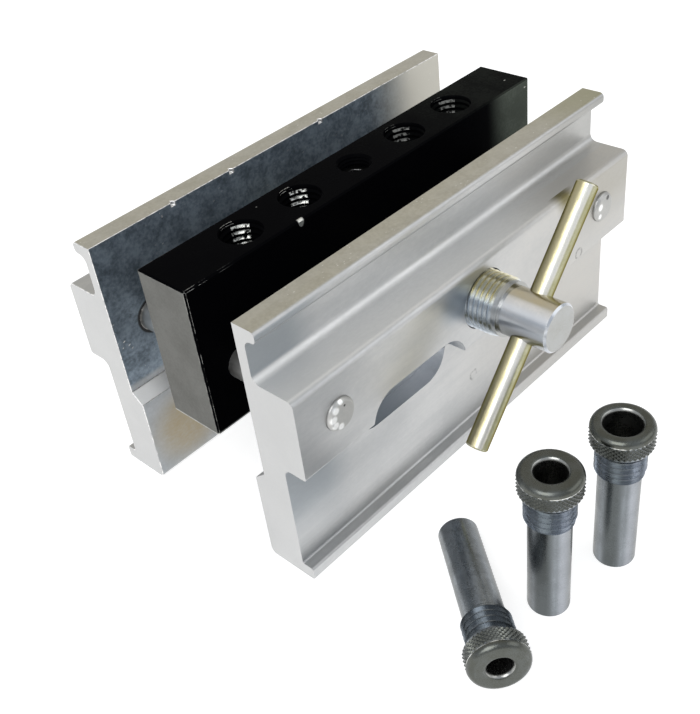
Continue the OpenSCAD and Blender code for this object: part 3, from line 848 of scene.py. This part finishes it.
def makeBlock(values):
    mesh = mergedCopy("guide_block")
    holes = [Vector(mount["pos_m"]) for name, mount in mounts.items() if name.startswith("bushing_hole")]
    bore = mounts["bushing_hole_1"]["dims"]["r_mm"] * mm
    for vert in mesh.verts:
        for hole in holes:
            out = Vector((vert.co.x - hole.x, vert.co.y - hole.y))
            if out.length < bore + values["boreSlack"]:
                out *= values["holeRoot"] / out.length
                vert.co.x = hole.x + out.x
                vert.co.y = hole.y + out.y
    softenEdges(mesh, values["edgeSoftness"])
    softened = mesh.faces.layers.float["edge"]
    # painted glints on the rounded mouths of the holes
    glint = mesh.faces.layers.float.new("glint")
    for face in mesh.faces:
        spot = face.calc_center_median()
        if face[softened] and spot.z > blockHigh.z - values["mouth"]:
            face[glint] = glintShare(spot, holes, values["mouthReach"], values["mouthSpan"],
                                     values["faintGlint"])
    finish = materials["blackOxide"]
    dress(finishPiece(mesh, "block", finish), "block", "black_oxide", "guide_block")
    tapped = blockHigh.z - blockLow.z - 2 * values["mouth"]
    threads = [fromTree(threadTree, {
        "Root Radius": values["holeRoot"], "Depth": values["threadDepth"], "Foot": values["threadFoot"],
        "Crest": values["threadCrest"], "Lead": values["threadLead"], "Length": tapped,
        "Inward": True, "Steps": values["threadSteps"], "Finish": finish,
    }, Matrix.Translation((hole.x, hole.y, blockLow.z + values["mouth"]))) for hole in holes]
    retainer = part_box("retaining_screw")[1]
    threads.append(fromTree(threadTree, {
        "Root Radius": retainer.x, "Depth": values["retainerDepth"], "Foot": values["retainerFoot"],
        "Crest": values["threadCrest"], "Lead": values["retainerLead"],
        "Length": blockHigh.z - retainer.z - values["retainerGap"], "Inward": True,
        "Steps": values["retainerSteps"], "Finish": finish,
    }, Matrix.Translation((0.0, 0.0, retainer.z))))
    # painted glints on the thread crests
    ridges = markFaces(joinMeshes(threads), "glint", lambda spot: glintShare(
        spot, holes, bore + values["crestBand"], values["glintSpan"], values["faintGlint"]))
    dress(finishPiece(ridges, "block_threads", finish, "ridge"), "block", "black_oxide")
    retaining = softenEdges(mergedCopy("retaining_screw"), values["retainerSoftness"])
    dress(finishPiece(retaining, "retaining_screw_dressed", materials["blackScrew"]), "block", "black_screw",
          "retaining_screw")


makeBlock(blockValues)
print("guide block made")


# Guide rods

rodValues = {"edgeSoftness": 0.2 * mm}


def makeRods(values):
    for side in ("left", "right"):
        rod = softenEdges(mergedCopy("guide_rod_" + side), values["edgeSoftness"], roundEdge)
        dress(finishPiece(rod, "rod_" + side, materials["groundRod"]), "block", "ground_rod",
              "guide_rod_" + side)


makeRods(rodValues)
print("guide rods made")


# Centre screw and T-bar

screwValues = {
    "root": 8.05 * mm, "depth": 0.93 * mm, "foot": 1.3 * mm, "crest": 0.2 * mm, "lead": 1.5875 * mm,
    "edgeSoftness": 0.15 * mm, "barSoftness": 0.2 * mm, "runIn": 0.4 * mm, "crestBand": 0.5 * mm,
    "rootBand": (7.9 * mm, 8.2 * mm), "steps": 64,
}


def makeScrew(values):
    low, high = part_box("centre_screw")
    axis = (low.z + high.z) / 2
    mesh = mergedCopy("centre_screw")
    grooveHalf = high.y
    front = 0.0
    for vert in mesh.verts:
        out = Vector((vert.co.x, vert.co.z - axis))
        if out.length > values["root"] + values["crestBand"]:
            front = min(front, vert.co.y)
            grooveHalf = min(grooveHalf, abs(vert.co.y))
            out *= values["root"] / out.length
            vert.co.x = out.x
            vert.co.z = axis + out.y
    softenEdges(mesh, values["edgeSoftness"])
    inner, outer = values["rootBand"]
    # painted shade: the thread root between the ridges is darker
    markFaces(mesh, "dark", lambda spot: inner < hypot(spot.x, spot.z - axis) < outer)
    dress(finishPiece(mesh, "screw", materials["zincScrew"]), "screw", "zinc_screw", "centre_screw")
    ridges = []
    for side, reach, left in ((-1, -front, True), (1, high.y, False)):
        length = reach - grooveHalf - values["runIn"]
        made = fromTree(threadTree, {
            "Root Radius": values["root"], "Depth": values["depth"], "Foot": values["foot"],
            "Crest": values["crest"], "Lead": values["lead"], "Length": length, "Left Hand": left,
            "Steps": values["steps"], "Finish": materials["zincScrew"],
        }, Matrix.Translation((0.0, side * grooveHalf, axis)) @ Matrix.Rotation(-side * pi / 2, 4, "X"))
        ridges.append(made)
    ridges = markFaces(joinMeshes(ridges), "sheen", lambda spot: True)
    dress(finishPiece(ridges, "screw_threads", materials["zincScrew"], "ridge"), "screw", "zinc_screw")
    bar = softenEdges(mergedCopy("t_bar"), values["barSoftness"], roundEdge)
    dress(finishPiece(bar, "tommy_bar", materials["yellowZinc"]), "screw", "yellow_zinc", "t_bar")


makeScrew(screwValues)
print("centre screw and T-bar made")


# Jaws

jawValues = {"edgeSoftness": 0.3 * mm}


def makeJaws(values):
    for side in ("front", "rear"):
        jaw = softenEdges(mergedCopy(side + "_jaw"), values["edgeSoftness"])
        dress(finishPiece(jaw, side + "_casting", materials["castAluminium"]), side + "_jaw",
              "cast_aluminium", side + "_jaw")


makeJaws(jawValues)
print("jaws made")


# Drill bushings: turned from a profile, with a thread and a knurl round them

bushingValues = {  # in mm
    "body": 5.556, "tail": 0.6, "threadRoot": 5.76, "threadDepth": 0.46, "threadFoot": 1.7,
    "threadCrest": 0.7, "lead": 1.8, "threadLength": 9.3, "threadRise": 0.3, "runOut": 0.35, "steps": 56,
    "crestShare": 0.8, "head": 8.3, "headHeight": 6.8, "footBevel": 0.5, "neckLength": 0.8,
    "neckDepth": 0.15, "neckSlope": 0.25, "knurlRoot": 7.9, "knurlSink": 0.03,
    "knurlOver": 0.02, "around": 40, "rows": 6, "rimBand": 2.1,
    "rimRound": 1.9, "rimInset": 0.15, "rimStep": 0.05, "rimRise": 0.3, "leadIn": 1.35, "mountGap": 1.0,
    "tailBevel": 0.4, "mouthTurns": (90, 130), "boreTurns": (140, 180),  # degrees
}


def arcPoints(middle, radius, start, end, steps=6):
    turns = [radians(start + (end - start) * step / steps) for step in range(steps + 1)]
    return [(middle[0] + radius * cos(turn), middle[1] + radius * sin(turn)) for turn in turns]


def bushingProfile(values, bore, length):
    # (radius, height) in mm up the outside, over the rim and down into the bore
    body, root, knurl = values["body"], values["threadRoot"], values["knurlRoot"]
    headFoot = length - values["headHeight"]
    neck = headFoot - values["neckLength"]
    waist = body - values["neckDepth"]
    threadFoot = headFoot - values["threadLength"]
    rimFoot = length - values["rimBand"]
    crown = values["head"] - values["rimInset"]
    tail, rimRound, leadIn = values["tail"], values["rimRound"], values["leadIn"]
    outside = [(bore, values["tailBevel"]), (bore + values["tailBevel"], 0.0)]
    outside += arcPoints((body - tail, tail), tail, -90, 0)
    outside += [(body, threadFoot), (root, threadFoot + values["threadRise"]), (root, neck)]
    outside += [(waist, neck + values["neckSlope"]), (waist, headFoot)]
    outside += [(knurl - values["footBevel"], headFoot), (knurl, headFoot + values["footBevel"])]
    outside += [(knurl, rimFoot)]
    rim = [(crown - values["rimStep"], rimFoot), (crown, rimFoot + values["rimRise"])]
    rim += arcPoints((crown - rimRound, length - rimRound), rimRound, 0, 90, 8)
    mouth = (bore + leadIn, length - leadIn)
    rim += arcPoints(mouth, leadIn, *values["mouthTurns"], 4)
    return outside, rim, arcPoints(mouth, leadIn, *values["boreTurns"], 4)


def lathe(outside, rim, inside, segments=96):
    mesh = bmesh.new()
    rimMark, darkMark, edgeMark = (mesh.faces.layers.float.new(name) for name in ("rim", "dark", "edge"))
    rimEnd = len(outside) + len(rim) - 1
    rings = []
    for radius, height in outside + rim + inside:
        ring = []
        for step in range(segments):
            turn = tau * step / segments
            ring.append(mesh.verts.new((radius * cos(turn) * mm, radius * sin(turn) * mm, height * mm)))
        rings.append(ring)
    for number, ring in enumerate(rings):
        after = rings[(number + 1) % len(rings)]
        for step in range(segments):
            other = (step + 1) % segments
            face = mesh.faces.new((ring[step], ring[other], after[other], after[step]))
            face[rimMark] = float(len(outside) <= number < rimEnd)
            face[darkMark] = float(number >= rimEnd)
            face[edgeMark] = float(number in (len(outside), len(outside) + 1))
    return mesh


def makeBushing(name, values):
    mount = mounts[name + "_bore"]
    bore = mount["dims"]["r_mm"]
    length = mount["dims"]["length_mm"] + values["mountGap"]
    headward = Vector(mount["axis"]).normalized()
    turn = Vector((0.0, 0.0, 1.0)).rotation_difference(headward).to_matrix().to_4x4()
    tail = Vector(mount["pos_m"]) - headward * mount["dims"]["length_mm"] / 2 * mm
    place = Matrix.Translation(tail) @ turn
    mesh = lathe(*bushingProfile(values, bore, length))
    mesh.transform(place)
    bmesh.ops.recalc_face_normals(mesh, faces=mesh.faces)
    finish = materials["bushingSteel"]
    dress(finishPiece(mesh, name + "_turned", finish, "turned"), name, "gunmetal", name)
    headFoot = length - values["headHeight"]
    threadLength = values["threadLength"] - values["neckLength"]
    ridge = fromTree(threadTree, {
        "Root Radius": values["threadRoot"] * mm, "Depth": values["threadDepth"] * mm,
        "Foot": values["threadFoot"] * mm, "Crest": values["threadCrest"] * mm, "Lead": values["lead"] * mm,
        "Length": threadLength * mm, "Run Out": values["runOut"], "Steps": values["steps"],
        "Finish": finish,
    }, place @ Matrix.Translation((0.0, 0.0, (headFoot - values["threadLength"]) * mm)))
    knurlDepth = values["head"] - values["knurlRoot"] + values["knurlOver"]
    knurl = fromTree(knurlTree, {
        "Radius": (values["knurlRoot"] - values["knurlSink"]) * mm, "Depth": knurlDepth * mm,
        "Low": (headFoot + values["footBevel"]) * mm, "High": (length - values["rimBand"]) * mm,
        "Around": values["around"], "Rows": values["rows"], "Finish": finish,
    }, place)
    crest = (values["threadRoot"] + values["threadDepth"] * values["crestShare"]) * mm

    def shines(spot):
        # painted sheen on the whole thread where the bushing stands, only on its crests where it lies
        away = spot - tail
        return headward.z == 1.0 or (away - headward * away.dot(headward)).length > crest

    ridge = markFaces(joinMeshes([ridge]), "sheen", shines)
    dress(finishPiece(ridge, name + "_thread", finish, "ridge"), name, "gunmetal")
    knurl = markFaces(joinMeshes([knurl]), "rim", lambda spot: True)
    dress(finishPiece(knurl, name + "_knurl", finish, "facet"), name, "gunmetal")


for bushingName in ("small_bushing", "middle_bushing", "large_bushing"):
    makeBushing(bushingName, bushingValues)
print("bushings made")


# Floor, light and camera

stageValues = {
    "floorSize": 6.0, "floorColour": (0.62, 0.62, 0.62), "floorGlow": 0.68,
    "brighterWay": (-0.7, 0.7, 0.0), "brighterSpan": (-0.12, 0.12), "mirrorGlow": (0.66, 0.72),
    "worldWarm": (0.76, 0.74, 0.69), "worldCool": (0.74, 0.78, 0.84), "worldStrength": 0.85,
    "warmWay": (0.53, 0.58, 0.61), "warmSpan": (0.2, 0.9), "backdropSpan": (0.30, 0.10),
    "white": (1.0, 1.0, 1.0),
    "lamps": (  # name, place, size, power and colour; each points at the origin
        ("key", (-0.75, -0.25, 0.75), (0.7, 0.7), 5.0, (1.0, 1.0, 1.0)),
        ("fill", (0.5, -0.8, 0.6), (0.9, 0.6), 1.5, (1.0, 0.98, 0.95)),
    ),
}


def makeFloor(values):
    half = values["floorSize"] / 2
    level = cadBox[0][2]
    mesh = bmesh.new()
    corners = [mesh.verts.new((x * half, y * half, level)) for x, y in ((-1, -1), (1, -1), (1, 1), (-1, 1))]
    mesh.faces.new(corners)
    material = bpy.data.materials.new("paleFloor")
    tree = emptyTree(material)
    rays = tree.nodes.new("ShaderNodeLightPath").outputs
    mirrored = largest(rays["Is Glossy Ray"], rays["Is Transmission Ray"])
    place = tree.nodes.new("ShaderNodeTexCoord").outputs["Object"]
    # painted light seen only in reflections: the floor glows brighter towards the rear left
    toBright = vectorMaths("DOT_PRODUCT", place, values["brighterWay"])
    lit = ramped(toBright, *values["brighterSpan"], *values["mirrorGlow"])
    glow = maths("ADD", product(rays["Is Camera Ray"], values["floorGlow"]),
                 product(mirrored, lit))
    matt = addNode("ShaderNodeBsdfDiffuse", {"Color": (*values["floorColour"], 1.0)}, tree).outputs[0]
    glow = addNode("ShaderNodeEmission", {"Color": (*values["white"], 1.0), "Strength": glow}).outputs[0]
    both = addNode("ShaderNodeAddShader", {0: matt, 1: glow}).outputs[0]
    output = tree.nodes.new("ShaderNodeOutputMaterial")
    link(both, output.inputs["Surface"])
    finishPiece(mesh, "floor", material)


def makeWorld(values):
    world = bpy.data.worlds.new("studio")
    bpy.context.scene.world = world
    tree = emptyTree(world)
    way = tree.nodes.new("ShaderNodeTexCoord").outputs["Generated"]
    warm = ramped(vectorMaths("DOT_PRODUCT", way, values["warmWay"]), *values["warmSpan"])
    room = blendColours(warm, values["worldCool"], values["worldWarm"])
    backdrop = ramped(splitXYZ(way)["Z"], *values["backdropSpan"])
    rays = tree.nodes.new("ShaderNodeLightPath").outputs
    mirrored = largest(rays["Is Glossy Ray"], rays["Is Transmission Ray"])
    colour = blendColours(product(mirrored, backdrop), room, values["white"])
    colour = blendColours(rays["Is Camera Ray"], colour, values["white"])
    strength = blendValues(rays["Is Camera Ray"], values["worldStrength"], 1.0)
    background = addNode("ShaderNodeBackground", {"Color": colour, "Strength": strength})
    output = tree.nodes.new("ShaderNodeOutputWorld")
    link(background.outputs[0], output.inputs["Surface"])


def addLamps(values):
    for name, place, size, power, colour in values["lamps"]:
        light = bpy.data.lights.new(name, "AREA")
        light.shape = "RECTANGLE"
        light.size, light.size_y = size
        light.energy = power
        light.color = colour
        lamp = newObject(name, light)
        lamp.location = place
        lamp.rotation_euler = (-Vector(place)).to_track_quat("-Z", "Y").to_euler()


cameraValues = {
    "place": (-188.35 * mm, -192.84 * mm, 186.75 * mm), "forward": (0.53378, 0.58266, -0.61285),
    "roll": -7.689, "lens": 52.384, "sensor": 36.0,  # lens and sensor in mm
    "clip": (0.01, 20.0),
}


def makeCamera(values):
    forward = Vector(values["forward"]).normalized()
    right = forward.cross(Vector((0.0, 0.0, 1.0))).normalized()
    up = right.cross(forward)
    turn = radians(values["roll"])
    tiltedRight = right * cos(turn) + up * sin(turn)
    tiltedUp = tiltedRight.cross(forward)
    data = bpy.data.cameras.new("camera")
    data.lens = values["lens"]
    data.sensor_fit = "VERTICAL"
    data.sensor_height = values["sensor"]
    data.clip_start, data.clip_end = values["clip"]
    camera = newObject("camera", data)
    columns = Matrix((tiltedRight, tiltedUp, -forward)).transposed()
    camera.matrix_world = Matrix.Translation(values["place"]) @ columns.to_4x4()
    bpy.context.scene.camera = camera


makeFloor(stageValues)
makeWorld(stageValues)
addLamps(stageValues)
makeCamera(cameraValues)
bpy.context.scene.view_settings.view_transform = "Standard"
print("floor, light and camera made")
